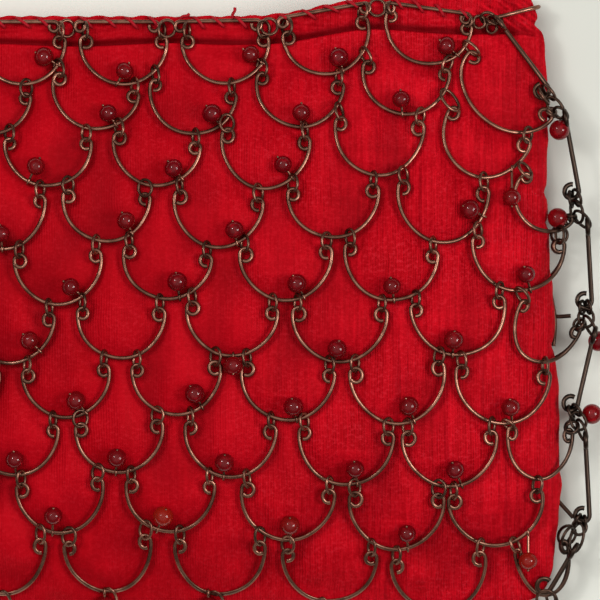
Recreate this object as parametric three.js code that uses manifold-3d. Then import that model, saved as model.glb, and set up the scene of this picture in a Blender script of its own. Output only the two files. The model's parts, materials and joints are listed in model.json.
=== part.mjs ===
// A small evening bag lying on its back: a padded red silk pouch, open at the mouth, inside a hung net of
// bronze wire hoops with red beads, a rim chain round the mouth and a chain down each side.
// Millimetres: +X across the bag, +Y towards the mouth, +Z up off the table.
import * as THREE from "three";
import { mergeVertices } from "three/addons/utils/BufferGeometryUtils.js";
import Module from "manifold-3d";

// Driving dimensions
const pouchLength = 141.5; // from the mouth edge to the bottom fold
const clothWall = 1.3;
const hemWidth = 5; // folded band below the mouth edge
const hemBulge = 0.5; // how far the band stands out from the cloth
const mouthStand = 1.2; // cloth above the rim wire
const beadDiameter = 4;
const hoopWire = 0.8;
const rimWire = 0.9;
const hoopRadius = 10.4; // to the middle of the wire
const scrollRadius = 1.2; // the curl that ends each side of a hoop
const ringDrop = 3.4; // jump ring, from the wire that it hangs on to the curl that it holds
const rimDrop = 4.2; // link loop and ring, from the rim wire to the curls of the first row
const sideAngle = Math.PI / 9; // where the side of a hoop straightens towards its hang point
const beadStand = 2.7; // middle of a bead above the bottom of its hoop
const beadAside = 1; // and to the right of it
const hoopsAcross = 6; // in odd rows; even rows have one more
const gap = 0.35; // clear space between separate pieces

// Cross-sections of the pouch, from the mouth edge down to the bottom fold
const sections = [
  { down: 0, halfWidth: 80.5, lean: -6, top: 13.5, edge: 7, under: 1.3 },
  { down: 6, halfWidth: 81.2, lean: -4.2, top: 14.2, edge: 7.2, under: 1.3 },
  { down: 14, halfWidth: 81.2, lean: -2.7, top: 16.6, edge: 7.4, under: 1.3 },
  { down: 34, halfWidth: 79.7, lean: -1, top: 22.5, edge: 7.8, under: 1.3 },
  { down: 66, halfWidth: 79.8, lean: 0, top: 26, edge: 8, under: 1.3 },
  { down: 105, halfWidth: 81.8, lean: 0, top: 23.5, edge: 7.6, under: 1.3 },
  { down: 123, halfWidth: 81.2, lean: 0, top: 18, edge: 6.8, under: 1.35 },
  { down: 134, halfWidth: 78.6, lean: 0, top: 12.4, edge: 5.9, under: 1.9 },
  { down: 139.5, halfWidth: 73.5, lean: 0, top: 8.4, edge: 5.2, under: 2.8 },
  { down: 141.5, halfWidth: 66, lean: 0, top: 6.4, edge: 4.9, under: 3.6 },
];

// Rows of hoops: spacing, middle of the row, and where the end hoops of the even rows sit
const rows = [
  { pitch: 24.3, middle: -9.7 },
  { pitch: 24, middle: -5.2, leftEnd: -76, rightEnd: 71.5 },
  { pitch: 26.6, middle: -1.8 },
  { pitch: 26.75, middle: 0.2, leftEnd: -77, rightEnd: 78 },
  { pitch: 27.2, middle: 1.9 },
  { pitch: 26.5, middle: 2.8, leftEnd: -76, rightEnd: 79 },
  { pitch: 26.2, middle: 3.2 },
  { pitch: 26.5, middle: 2.6, leftEnd: -76, rightEnd: 78 },
  { pitch: 26.9, middle: 2.1 },
  { pitch: 26.8, middle: 0.9, leftEnd: -75, rightEnd: 77 },
];

// Joints of the rim chain: place along the mouth and rise of the wire and of the cloth edge there
const rimJoints = [
  { x: -81.5, wireRise: 0, clothRise: 0 },
  { x: -59.3, wireRise: 0, clothRise: 0 },
  { x: -35, wireRise: 0, clothRise: 0 },
  { x: -10.7, wireRise: 0, clothRise: 0 },
  { x: 13.6, wireRise: 0.6, clothRise: 0.6 },
  { x: 37.9, wireRise: 5, clothRise: 5 },
  { x: 62.2, wireRise: 1.6, clothRise: 6 },
  { x: 80, wireRise: 3, clothRise: 4.5 },
];

// Joints of the side chains: down from the rim, out from the middle, the end hoop's hang point inside the
// joint, and the bead at the joint, out, down and up from it
const sideJoints = [
  { down: 21.8, right: 81.5, left: 86.5, inside: 1.5, beadOut: 0, beadDown: 4.1, beadUp: 3.2 },
  { down: 46.8, right: 86, left: 86.5, inside: 1.2, beadOut: -4.9, beadDown: 1.7, beadUp: 2 },
  { down: 72, right: 88, left: 88, inside: 1.2, beadOut: 2.9, beadDown: 4.6, beadUp: 0 },
  { down: 96.7, right: 86.5, left: 86.5, inside: 1.2, beadOut: 2.9, beadDown: -2.6, beadUp: 0 },
  { down: 121.9, right: 86.2, left: 86.2, inside: 4.2 },
  { down: 137.5, right: 79, left: 79 },
];
const chainHeight = 7.6;

// Reads a column of a table at any place between its rows, along a smooth curve
function column(table, key, name, at) {
  const last = table.length - 1;
  const place = Math.min(Math.max(at, table[0][key]), table[last][key]);
  let i = 0;
  while (i < last - 1 && place > table[i + 1][key]) i += 1;
  const slope = (j) => {
    const a = table[Math.max(j - 1, 0)];
    const b = table[Math.min(j + 1, last)];
    return (b[name] - a[name]) / (b[key] - a[key]);
  };
  const step = table[i + 1][key] - table[i][key];
  const s = (place - table[i][key]) / step;
  const from = table[i][name] * (1 + 2 * s) * (1 - s) ** 2 + slope(i) * step * s * (1 - s) ** 2;
  const to = table[i + 1][name] * (3 - 2 * s) * s * s - slope(i + 1) * step * (1 - s) * s * s;
  return from + to;
}

const smooth = (a, b, x) => THREE.MathUtils.smoothstep(x, a, b);
const section = (name, down) => column(sections, "down", name, down);
const clothRise = (x) => column(rimJoints, "x", "clothRise", x);
const wireRise = (x) => column(rimJoints, "x", "wireRise", x);
const riseShare = (down) => 1 - smooth(0, 40, down); // the lift of the mouth edge fades down the bag
const dome = (s) => (1 - Math.min(Math.abs(s), 1) ** 2.6) ** 0.55;
const bed = (s) => (1 - Math.min(Math.abs(s), 1) ** 9) ** 0.6;
const hem = (down) => hemBulge * (1 - smooth(hemWidth - 0.6, hemWidth + 0.6, down));

// Distance down the cloth from the mouth edge at a point of the plan
function downAt(x, y) {
  let down = mouthStand - y;
  for (let i = 0; i < 4; i += 1) down = mouthStand - y + clothRise(x) * riseShare(down);
  return down;
}

// Height of the middle of a wire laid on the front of the pouch, or under its back
function coverHeight(x, y, clear, face) {
  const down = downAt(x, y);
  const edge = section("edge", down);
  const spread = section("halfWidth", down) + clear + 1.1;
  const s = (x - section("lean", down)) / spread;
  if (face < 0) return edge - (edge - section("under", down)) * bed(s) - clear;
  return edge + (section("top", down) + hem(down - 2) - edge) * dome(s) + clear;
}

// One ring of the pouch; inset thins it to the inner face of the cloth
function pouchRing(down, inset) {
  const ring = [];
  const half = section("halfWidth", down) - inset * 1.1;
  const lean = section("lean", down);
  const edge = section("edge", down);
  const swell = inset > 0 ? 0 : hem(down);
  const top = section("top", down) - inset + swell;
  const under = section("under", down) + inset;
  for (let i = 0; i < around; i += 1) {
    const angle = (2 * Math.PI * i) / around;
    const s = Math.sign(Math.cos(angle)) * Math.abs(Math.cos(angle)) ** 0.8;
    const x = lean + s * half;
    const y = mouthStand - down + clothRise(x) * riseShare(down);
    const z = Math.sin(angle) >= 0 ? edge + (top - edge) * dome(s) : edge - (edge - under) * bed(s);
    ring.push(new THREE.Vector3(x, y, z));
  }
  return ring;
}

const around = 32; // points round each ring of the pouch

function pouchGeometry() {
  const outerDown = [0, 4.6, 5.8, 12, 22, 35, 50, 68, 88, 107, 121, 131, 137.5, pouchLength];
  const innerDown = [133, 120, 100, 75, 48, 22, 0];
  const rings = outerDown.map((down) => pouchRing(down, 0));
  rings.push(...innerDown.map((down) => pouchRing(down, clothWall)));
  const outerEnd = outerDown.length - 1;
  const corners = rings.flat();
  const index = [];
  const quad = (a, b, c, d) => index.push(a, b, c, a, c, d);
  const last = rings.length - 1;
  for (let r = 0; r <= last; r += 1) {
    if (r === outerEnd) continue;
    const below = r === last ? 0 : r + 1;
    for (let i = 0; i < around; i += 1) {
      const j = (i + 1) % around;
      quad(r * around + i, r * around + j, below * around + j, below * around + i);
    }
  }
  const close = (r, turned) => {
    const at = (i) => r * around + i;
    const half = around / 2;
    const faces = [[at(0), at(1), at(around - 1)], [at(half - 1), at(half), at(half + 1)]];
    for (let i = 1; i < half - 1; i += 1) {
      const [a, b, c, d] = [at(i), at(i + 1), at(around - i - 1), at(around - i)];
      faces.push([a, b, c], [a, c, d]);
    }
    faces.forEach(([a, b, c]) => index.push(...(turned ? [a, c, b] : [a, b, c])));
  };
  close(outerEnd, false);
  close(outerEnd + 1, true);
  const geometry = new THREE.BufferGeometry();
  geometry.setFromPoints(corners);
  geometry.setIndex(index);
  return geometry;
}

const wasm = await Module();
wasm.setup();

function solidOf(geometry) {
  geometry.deleteAttribute("normal");
  geometry.deleteAttribute("uv");
  const plain = mergeVertices(geometry, 1e-4);
  const vertProperties = new Float32Array(plain.attributes.position.array);
  const triVerts = new Uint32Array(plain.index.array);
  return new wasm.Manifold(new wasm.Mesh({ numProp: 3, vertProperties, triVerts }));
}

// Joins overlapping pieces into one body
function fuse(geometries) {
  const mesh = wasm.Manifold.union(geometries.map(solidOf)).getMesh();
  const geometry = new THREE.BufferGeometry();
  geometry.setAttribute("position", new THREE.BufferAttribute(new Float32Array(mesh.vertProperties), 3));
  geometry.setIndex(new THREE.BufferAttribute(new Uint32Array(mesh.triVerts), 1));
  return geometry;
}

// A length of round wire along a curve
function wireGeometry(points, steps) {
  const shape = new THREE.Shape();
  const sides = 5;
  for (let i = 0; i < sides; i += 1) {
    const angle = (2 * Math.PI * i) / sides;
    shape.lineTo(Math.cos(angle) * rimWire * 0.5, Math.sin(angle) * rimWire * 0.5);
  }
  const extrudePath = new THREE.CatmullRomCurve3(points, false, "centripetal");
  return new THREE.ExtrudeGeometry(shape, { steps, extrudePath, curveSegments: 1 });
}

// A length of hoop wire as a strip in the plan, square in section
function stripGeometry(path) {
  const along = (i) => path[Math.min(i + 1, path.length - 1)].clone().sub(path[Math.max(i - 1, 0)]).normalize();
  const beside = (i, hand) => {
    const way = along(i);
    return path[i].clone().add(new THREE.Vector2(-way.y, way.x).multiplyScalar(hand * hoopWire * 0.5));
  };
  const leftSide = path.map((point, i) => beside(i, 1));
  const rightSide = path.map((point, i) => beside(i, -1));
  const shape = new THREE.Shape([...rightSide, ...leftSide.reverse()]);
  const strip = new THREE.ExtrudeGeometry(shape, { depth: hoopWire, bevelEnabled: false });
  return strip.translate(0, 0, -hoopWire / 2);
}

const rimClear = rimWire / 2 + gap;
const hoopClear = hoopWire / 2 + gap;

function sideJoint(i, side, inward = 0) {
  const { down, left, right, inside } = sideJoints[i];
  const out = (side < 0 ? left : right) + (inward ? -inside : 0);
  return new THREE.Vector2(side * out, -down);
}

// Points along the curve of a hoop, from its left side round the bottom to its right side
function hoopCurve(hoop, turns) {
  const along = new THREE.Vector2(Math.cos(hoop.tilt), Math.sin(hoop.tilt));
  const across = new THREE.Vector2(-along.y, along.x);
  return Array.from({ length: turns + 1 }, (_, i) => {
    const angle = Math.PI + sideAngle + ((Math.PI - 2 * sideAngle) * i) / turns;
    const point = hoop.middle.clone().addScaledVector(along, hoop.half * Math.cos(angle));
    return point.addScaledVector(across, hoopRadius * Math.sin(angle));
  });
}

// The point of a hoop's curve below a place across the bag
function pointOn(hoop, turns, across) {
  const limit = 0.8 * hoop.half * Math.cos(hoop.tilt);
  const x = THREE.MathUtils.clamp(across, hoop.middle.x - limit, hoop.middle.x + limit);
  const curve = hoopCurve(hoop, turns);
  const next = curve.findIndex((point, i) => i > 0 && point.x >= x && curve[i - 1].x <= x);
  const [a, b] = [curve[next - 1], curve[next]];
  return a.clone().lerp(b, (x - a.x) / (b.x - a.x));
}

// The hung net as a plan: every hoop with the two points that it hangs on and the middle of its curve
function hangNet(turns) {
  const net = [];
  const reach = hoopRadius - scrollRadius;
  rows.forEach((row, r) => {
    const even = r % 2 === 1;
    const count = hoopsAcross + (even ? 1 : 0);
    const drop = r === 0 ? rimDrop - rimClear : ringDrop;
    const hang = (i) => {
      const side = even ? (i === 0 ? -1 : i === count - 1 ? 1 : 0) : 0;
      const regular = row.middle + (i - (count - 1) / 2) * row.pitch;
      const x = side < 0 ? row.leftEnd : side > 0 ? row.rightEnd : regular;
      const hangAt = (hand) => {
        const at = x + hand * reach;
        if (r === 0) return new THREE.Vector2(at, wireRise(at) - rimClear);
        if (hand === side) return sideJoint((r - 1) / 2, side, -1);
        return pointOn(net[r - 1][even && hand < 0 ? i - 1 : even || hand < 0 ? i : i + 1], turns, at);
      };
      const left = hangAt(-1);
      const right = hangAt(1);
      const span = right.clone().sub(left);
      const tilt = Math.atan2(span.y, span.x);
      const middle = left.clone().add(right).multiplyScalar(0.5);
      middle.y -= drop + scrollRadius * Math.cos(tilt);
      const half = side === 0 ? hoopRadius : span.length() / 2 - 0.6;
      return { left, right, tilt, middle, half, side };
    };
    net.push(Array.from({ length: count }, (_, i) => hang(i)));
  });
  return net;
}

// The net joined flat, then laid over a height above the table
function netGeometry(turns, height) {
  const hoops = hangNet(turns).flat();
  const strips = hoops.map((hoop) => stripGeometry([hoop.left, ...hoopCurve(hoop, turns), hoop.right]));
  const geometry = fuse(strips);
  const place = geometry.attributes.position;
  for (let i = 0; i < place.count; i += 1) {
    place.setZ(i, place.getZ(i) + height(place.getX(i), place.getY(i)));
  }
  return geometry;
}

const overFront = (x, y, clear) => coverHeight(x, y, clear, 1);
const underBack = (x, y, clear) => Math.max(coverHeight(x, y, clear + gap, -1), clear - gap);
const onFront = (point, clear) => new THREE.Vector3(point.x, point.y, overFront(point.x, point.y, clear));

function rimGeometry(height) {
  const points = rimJoints.slice(0, -1).map(({ x, wireRise: y }) => new THREE.Vector3(x, y, height(x, y, rimClear + 0.1)));
  return wireGeometry(points, 12);
}

// The link that carries the rim round one end of the mouth, from front to back
function rimLinkGeometry(side) {
  const ring = pouchRing(3.6, -rimClear - 0.4);
  const tip = side > 0 ? around : around / 2;
  const reach = side > 0 ? 3 : 2;
  const points = Array.from({ length: 2 * reach + 1 }, (_, i) => ring[(tip + i - reach) % around]);
  return wireGeometry(points, 6);
}

// Straight links from the end of the rim down one side of the bag
function chainGeometry(side) {
  const rimEnd = side > 0 ? rimJoints[rimJoints.length - 2] : rimJoints[0];
  const start = new THREE.Vector2(rimEnd.x + 3.2 * side, -1.4);
  const first = sideJoint(0, side);
  const over = [start, start.clone().lerp(first, 0.5)].map((point) => onFront(point, rimClear + 0.4));
  const beside = sideJoints.map((joint, i) => new THREE.Vector3(...sideJoint(i, side), chainHeight));
  return wireGeometry([...over, ...beside], 14);
}

function sideBeadCenter({ down, beadOut, beadDown, beadUp }, out, side) {
  return new THREE.Vector3(side * (out + beadOut), -down - beadDown, chainHeight + beadUp);
}

function beadGeometry({ x, y, z }) {
  return new THREE.SphereGeometry(beadDiameter / 2, 10, 3).rotateX(Math.PI / 2).translate(x, y, z);
}

const bag = new THREE.Group();
const silk = { color: 0xb0101e, roughness: 0.6, metalness: 0 };
const bronze = { color: 0x6e5c45, roughness: 0.45, metalness: 0.9 };
const garnet = { color: 0x7a0612, roughness: 0.15, metalness: 0 };

function add(name, geometry, look) {
  const mesh = new THREE.Mesh(geometry, new THREE.MeshStandardMaterial(look));
  mesh.name = name;
  bag.add(mesh);
}

add("pouch", pouchGeometry(), silk);
add("front_net", netGeometry(4, (x, y) => overFront(x, y, hoopClear)), bronze);
add("back_net", netGeometry(3, (x, y) => underBack(x, y, hoopClear)), bronze);
add("front_rim", rimGeometry(overFront), bronze);
add("back_rim", rimGeometry(underBack), bronze);
add("right_chain", chainGeometry(1), bronze);
add("left_chain", chainGeometry(-1), bronze);
add("right_rim_link", rimLinkGeometry(1), bronze);
add("left_rim_link", rimLinkGeometry(-1), bronze);
hangNet(4).forEach((hoops, r) => {
  if (r % 2 === 1) return;
  hoops.forEach(({ middle }, i) => {
    const place = new THREE.Vector2(middle.x + beadAside, middle.y - hoopRadius + beadStand);
    add(`bead_${r + 1}_${i + 1}`, beadGeometry(onFront(place, beadDiameter / 2 + gap)), garnet);
  });
});
sideJoints.slice(0, 4).forEach((joint, i) => {
  add(`right_bead_${i + 1}`, beadGeometry(sideBeadCenter(joint, joint.right, 1)), garnet);
  add(`left_bead_${i + 1}`, beadGeometry(sideBeadCenter(joint, joint.left, -1)), garnet);
});


const box = new THREE.Box3().setFromObject(bag);
const middle = box.getCenter(new THREE.Vector3());
bag.position.set(-middle.x, -middle.y, -box.min.z);
const assembly = new THREE.Group();
assembly.add(bag);
export default assembly;
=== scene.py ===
import json
import math

import bpy
import numpy as np
from mathutils import Matrix, Vector, kdtree, noise

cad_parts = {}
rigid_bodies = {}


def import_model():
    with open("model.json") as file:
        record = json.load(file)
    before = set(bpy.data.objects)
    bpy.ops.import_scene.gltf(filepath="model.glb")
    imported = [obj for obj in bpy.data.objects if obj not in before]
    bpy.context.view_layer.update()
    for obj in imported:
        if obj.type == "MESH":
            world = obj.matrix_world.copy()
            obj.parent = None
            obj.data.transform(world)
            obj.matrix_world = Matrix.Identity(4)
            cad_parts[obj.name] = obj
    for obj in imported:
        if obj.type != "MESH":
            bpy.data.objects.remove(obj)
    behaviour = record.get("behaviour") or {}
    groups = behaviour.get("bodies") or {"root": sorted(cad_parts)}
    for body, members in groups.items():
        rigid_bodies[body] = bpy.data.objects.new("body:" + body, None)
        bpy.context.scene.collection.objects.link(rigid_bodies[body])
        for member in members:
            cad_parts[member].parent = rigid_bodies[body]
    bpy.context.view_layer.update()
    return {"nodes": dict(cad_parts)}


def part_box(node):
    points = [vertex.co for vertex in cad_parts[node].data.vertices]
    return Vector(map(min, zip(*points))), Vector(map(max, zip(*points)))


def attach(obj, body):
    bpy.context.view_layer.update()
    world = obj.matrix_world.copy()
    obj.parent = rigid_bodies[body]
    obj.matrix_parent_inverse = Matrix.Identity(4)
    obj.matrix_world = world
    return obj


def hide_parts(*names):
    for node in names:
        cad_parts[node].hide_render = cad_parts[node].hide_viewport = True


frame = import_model()
rng = np.random.default_rng(11)
mm = 0.001


def table(names, *rows):  # named columns from short rows
    return {name: np.array(values, float) for name, values in zip(names.split(), zip(*rows))}


bag = {
    "length": 141.5,
    "wall": 1.3,
    "hemWidth": 6.6,
    "hemBulge": 0.5,
    "mouthStand": 1.2,
    "hoopWire": 1.0,
    "rimWire": 1.0,
    "chainWire": 1.2,
    "ringWire": 0.79,
    "hoopRadius": 10.4,
    "hoopDepth": 9.9,
    "scrollRadius": 1.2,
    "across": 6,
    "gap": 0.35,
    "chainHeight": 7.6,
    "stitchStep": 5.3,
    "sagX": 46,
    "sagSpread": 32,
    "sagDrop": 1.0,
    "endDrop": 0.25,
    "growth": 0.09,
    "rowStep": 14.3,
    "rimBelowTop": 7.2,
    "edgeRoom": 1.1,
    "hangLimit": 0.87,
    "ringDrop": 2.7,
    "liftShare": 0.8,
    "endTuck": 0.6,
}
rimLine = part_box("pouch")[1][1] / mm - bag["rimBelowTop"]  # the rim wire's own line, in the row frame

sections = table(
    "down halfWidth lean top edge under",
    (0, 80.5, -6, 13.5, 7, 1.3),
    (6, 81.2, -4.2, 14.2, 7.2, 1.3),
    (14, 81.2, -2.7, 16.6, 7.4, 1.3),
    (34, 79.7, -1, 22.5, 7.8, 1.3),
    (66, 79.8, 0, 26, 8, 1.3),
    (105, 81.8, 0, 23.5, 7.6, 1.3),
    (123, 81.2, 0, 18, 6.8, 1.35),
    (134, 79.6, 0, 12.4, 5.9, 1.9),
    (139.5, 76, 0, 8.4, 5.2, 2.8),
    (141.5, 69.5, 0, 6.4, 4.9, 3.6),
)
rows = table(
    "pitch middle drop leftEnd rightEnd endDepth",
    (24.4, -10.9, 3, 0, 0, 1),
    (24.4, -5.2, 2.7, -76, 75, 1),
    (26.6, -1.2, 2.8, 0, 0, 1),
    (26.75, 0.4, 3.5, -77, 81, 0.73),
    (27.2, 2.2, 3.6, 0, 0, 1),
    (26.5, 3, 3.8, -76, 81.6, 1),
    (26.4, 2.9, 3.8, 0, 0, 1),
    (26.6, 2.6, 4, -76, 79.5, 1),
    (26.4, 1.4, 4.1, 0, 0, 1),
    (26.8, 0, 3.8, -75, 81, 1),
)
rimJoints = table(
    "x wireRise clothRise",
    (-81.5, 0, 0),
    (-59.3, 0, 0),
    (-35, 0, 0),
    (-10.7, 0, 0),
    (13.6, 0.6, 0.6),
    (37.9, 5, 5),
    (62.2, 1.6, 6),
    (80, 3, 4.5),
)
sideJoints = table(
    "down right left inside beadOut beadDown beadUp",
    (21.8, 81.5, 86.5, 1.5, 0, 4.1, 3.2),
    (46.8, 86, 86.5, 1.2, -4.9, 0.2, 2.2),
    (72, 88, 88, 1.2, 2.9, 4.6, 0),
    (96.7, 86.5, 86.5, 1.2, 2.9, -2.6, 0),
    (121.9, 86.2, 86.2, 2.0, 0, 0, 0),
    (137.5, 79, 79, 0, 0, 0, 0),
)
sideLinks = table(  # ends of the straight links of a side chain, from the rim down
    "topOut topDown lowOut lowDown",
    (67.2, 0.2, 78.7, 15.4),
    (83, 23, 86.2, 40.3),
    (88.3, 49, 89.3, 66.7),
    (89.8, 75.1, 85.9, 91.9),
    (87.8, 100.3, 88.8, 118.3),
    (84.9, 127, 79.4, 136.3),
)


def column(data, key, name, at):  # a column read anywhere, along a smooth curve
    xs, ys = data[key], data[name]
    place = np.clip(at, xs[0], xs[-1])
    i = np.clip(np.searchsorted(xs, place) - 1, 0, len(xs) - 2)
    slope = np.concatenate(([0], (ys[2:] - ys[:-2]) / (xs[2:] - xs[:-2]), [0]))
    slope[0] = (ys[1] - ys[0]) / (xs[1] - xs[0])
    slope[-1] = (ys[-1] - ys[-2]) / (xs[-1] - xs[-2])
    step = xs[i + 1] - xs[i]
    s = (place - xs[i]) / step
    start = ys[i] * (1 + 2 * s) * (1 - s) ** 2 + slope[i] * step * s * (1 - s) ** 2
    return start + ys[i + 1] * (3 - 2 * s) * s * s - slope[i + 1] * step * (1 - s) * s * s


def smooth(a, b, x):
    t = np.clip((x - a) / (b - a), 0, 1)
    return t * t * (3 - 2 * t)


def section(name, down):
    return column(sections, "down", name, down)


def clothRise(x):
    return column(rimJoints, "x", "clothRise", x)


def wireRise(x):
    return column(rimJoints, "x", "wireRise", x)


def riseShare(down):
    return 1 - smooth(0, 40, down)


def dome(s):
    return (1 - np.minimum(np.abs(s), 1) ** 2.6) ** 0.55


def bed(s):
    return (1 - np.minimum(np.abs(s), 1) ** 9) ** 0.6


def hem(down):
    return bag["hemBulge"] * (1 - smooth(bag["hemWidth"] - 0.6, bag["hemWidth"] + 0.6, down))


def downAt(x, y):  # distance down the cloth from the mouth edge
    flat = bag["mouthStand"] - y
    down = flat
    for _ in range(4):
        down = flat + clothRise(x) * riseShare(down)
    return down


def shareAcross(x, down, clear):  # 0 in the middle, 1 where a wire passes the edge of the cloth
    return (x - section("lean", down)) / (section("halfWidth", down) + clear + bag["edgeRoom"])


def cover(x, y, clear):  # height of the middle of a wire laid on the front of the pouch
    down = downAt(x, y)
    edge = section("edge", down)
    s = shareAcross(x, down, clear)
    return edge + (section("top", down) + hem(down - 2) - edge) * dome(s) + clear


def bridge(x, y, clear):  # the same for a stiff wire, which reaches out over the edge of the cloth
    near = [cover(x + step, y, clear) for step in (-6, -4, -2, 0, 2, 4, 6)]
    return np.maximum(near[3], sum(near) / 7)


def under(x, y, clear):  # height of the middle of a wire between the back of the pouch and the table
    down = downAt(x, y)
    edge = section("edge", down)
    s = shareAcross(x, down, clear)
    return np.maximum(edge - (edge - section("under", down)) * bed(s) - clear - bag["gap"], clear)


class Value:  # one output of a node, with arithmetic on it
    def __init__(self, graph, socket):
        self.graph = graph
        self.socket = socket

    def __getitem__(self, name):
        return Value(self.graph, self.socket.node.outputs[name])

    def __add__(self, other):
        return self.graph.maths("ADD", self, other)

    def __radd__(self, other):
        return self.graph.maths("ADD", other, self)

    def __sub__(self, other):
        return self.graph.maths("SUBTRACT", self, other)

    def __rsub__(self, other):
        return self.graph.maths("SUBTRACT", other, self)

    def __mul__(self, other):
        return self.graph.maths("MULTIPLY", self, other)

    def __rmul__(self, other):
        return self.graph.maths("MULTIPLY", other, self)


class Graph:  # the nodes of one tree
    def __init__(self, tree):
        self.tree = tree

    def add(self, kind, settings=None, inputs=None):
        node = self.tree.nodes.new(kind)
        for name, value in (settings or {}).items():
            setattr(node, name, value)
        for name, value in (inputs or {}).items():
            self.feed(node.inputs[name], value)
        return Value(self, node.outputs[0]) if node.outputs else node

    def feed(self, socket, value):
        if isinstance(value, Value):
            self.tree.links.new(value.socket, socket)
        else:
            socket.default_value = value

    def maths(self, operation, first, second):
        return self.add("ShaderNodeMath", {"operation": operation}, {0: first, 1: second})

    def between(self, low, high, value):  # a smooth step from 0 to 1
        ends = {"Value": value, "From Min": low, "From Max": high}
        return self.add("ShaderNodeMapRange", {"interpolation_type": "SMOOTHSTEP"}, ends)

    def mix(self, share, first, second):
        ends = {"Factor": share, "A": first, "B": second}
        node = self.tree.nodes.new("ShaderNodeMix")
        node.data_type = "RGBA"
        for socket in node.inputs:
            if socket.enabled and socket.name in ends:
                self.feed(socket, ends[socket.name])
        return Value(self, next(socket for socket in node.outputs if socket.enabled))


def material(name, settings):  # a material with its shader, and the graph to dress it with
    made = bpy.data.materials.new(name)
    made.use_nodes = True
    graph = Graph(made.node_tree)
    shader = made.node_tree.nodes["Principled BSDF"]
    for key, value in settings.items():
        shader.inputs[key].default_value = value
    return made, graph, shader


def noiseOf(graph, place, scale, detail=2.0):
    inputs = {"Vector": place, "Scale": scale, "Detail": detail, "Roughness": 0.55}
    return graph.add("ShaderNodeTexNoise", {"noise_dimensions": "3D"}, inputs)


def stretched(graph, place, sizes):
    return graph.add("ShaderNodeMapping", None, {"Vector": place, "Scale": sizes})


silkLook = {
    "deep": (0.27, 0.0003, 0.003, 1),
    "bright": (0.55, 0.0035, 0.012, 1),
    "pale": (0.55, 0.021, 0.038, 1),
    "streak": (0.2, 0.0006, 0.004, 1),
    # the fold colour is painted shade, mixed in by the shade attribute
    "fold": (0.1, 0.0003, 0.002, 1),
    "ribs": 10100.0,  # radians a metre, as for the gathers
    "gathers": 4300.0,
    "relief": 0.00016,
}


def silkMaterial():
    look = {"Sheen Weight": 0.08, "Sheen Roughness": 0.5, "Sheen Tint": (1.0, 0.03, 0.05, 1.0)}
    made, graph, shader = material("silk", {**look, "Specular IOR Level": 0.03})
    place = graph.add("ShaderNodeTexCoord")["Object"]
    spot = graph.add("ShaderNodeSeparateXYZ", None, {"Vector": place})
    across, along = spot["X"], spot["Y"]
    slub = noiseOf(graph, stretched(graph, place, (1500.0, 50.0, 300.0)), 1.0, 3.0)
    streak = noiseOf(graph, stretched(graph, place, (620.0, 18.0, 120.0)), 1.0, 2.0)
    grain = noiseOf(graph, stretched(graph, place, (1100.0, 1500.0, 900.0)), 1.0, 3.0)
    cloud = noiseOf(graph, place, 70.0, 3.0)
    ribbed = graph.between(-0.03, 0.06, across) * 0.8 + 0.2
    rib = graph.between(0.32, 0.68, slub) * ribbed
    line = graph.between(0.56, 0.74, streak) * ribbed
    speckle = graph.between(0.3, 0.7, grain) * (0.4 + 0.5 * ribbed)
    shade = graph.add("ShaderNodeAttribute", {"attribute_name": "shade"})["Fac"]  # painted shade: in the hem's fold, beside the wires and in fold hollows
    corner = graph.between(0.057, 0.067, across) * graph.between(0.0625, 0.066, along)
    corner = corner * graph.between(0.0725, 0.0705, along)
    slant = (across * 0.6 + along * 0.8 + cloud * 0.004) * silkLook["gathers"]
    pleat = graph.add("ShaderNodeMath", {"operation": "SINE"}, {0: slant}) * corner  # gathers at one end: a bump, and painted light and shade across them
    patch = graph.between(0.36, 0.6, noiseOf(graph, place, 45.0, 2.0))
    upright = across * silkLook["ribs"] + cloud * 16.0
    weave = graph.add("ShaderNodeMath", {"operation": "SINE"}, {0: upright}) * patch  # clear in places
    level = noiseOf(graph, stretched(graph, place, (32.0, 210.0, 60.0)), 1.0, 2.0)
    crease = graph.between(0.4, 0.72, level) * ribbed  # soft level creases: a bump, and a painted lighter band along each
    tone = rib * 0.47 + graph.between(0.3, 0.7, cloud) * 0.25 + speckle * 0.32 + pleat * 0.4
    tone = tone + weave * ribbed * 0.18 + crease * 0.22 + 0.1 - 0.1 * ribbed
    cloth = graph.mix(tone, silkLook["deep"], silkLook["bright"])
    glint = graph.between(0.48, 0.74, grain) * (0.35 + 0.65 * patch)  # painted sheen: paler, pinker threads in patches
    cloth = graph.mix(glint * (0.25 + 0.7 * ribbed) * 0.45, cloth, silkLook["pale"])
    lined = graph.mix(line * 0.4, cloth, silkLook["streak"])
    # painted shade darkens the cloth towards the fold colour
    graph.feed(shader.inputs["Base Color"], graph.mix(shade, lined, silkLook["fold"]))
    graph.feed(shader.inputs["Roughness"], 0.5 + 0.2 * slub)
    height = rib * 0.9 + line * 0.5 + speckle * 0.45 + pleat * 0.9 + weave * 0.3 + crease * 1.6
    relief = {"Strength": 0.7, "Distance": silkLook["relief"], "Height": height}
    bump = graph.add("ShaderNodeBump", None, relief)
    graph.feed(shader.inputs["Normal"], bump)
    return made


wireTones = {
    "bright": (0.4, 0.19, 0.13, 1),
    "tarnished": (0.16, 0.074, 0.05, 1),
    "dark": (0.1, 0.055, 0.038, 1),
    # painted shade for wires that hang beside the cloth
    "beside": (0.034, 0.026, 0.021, 1),
}


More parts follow.
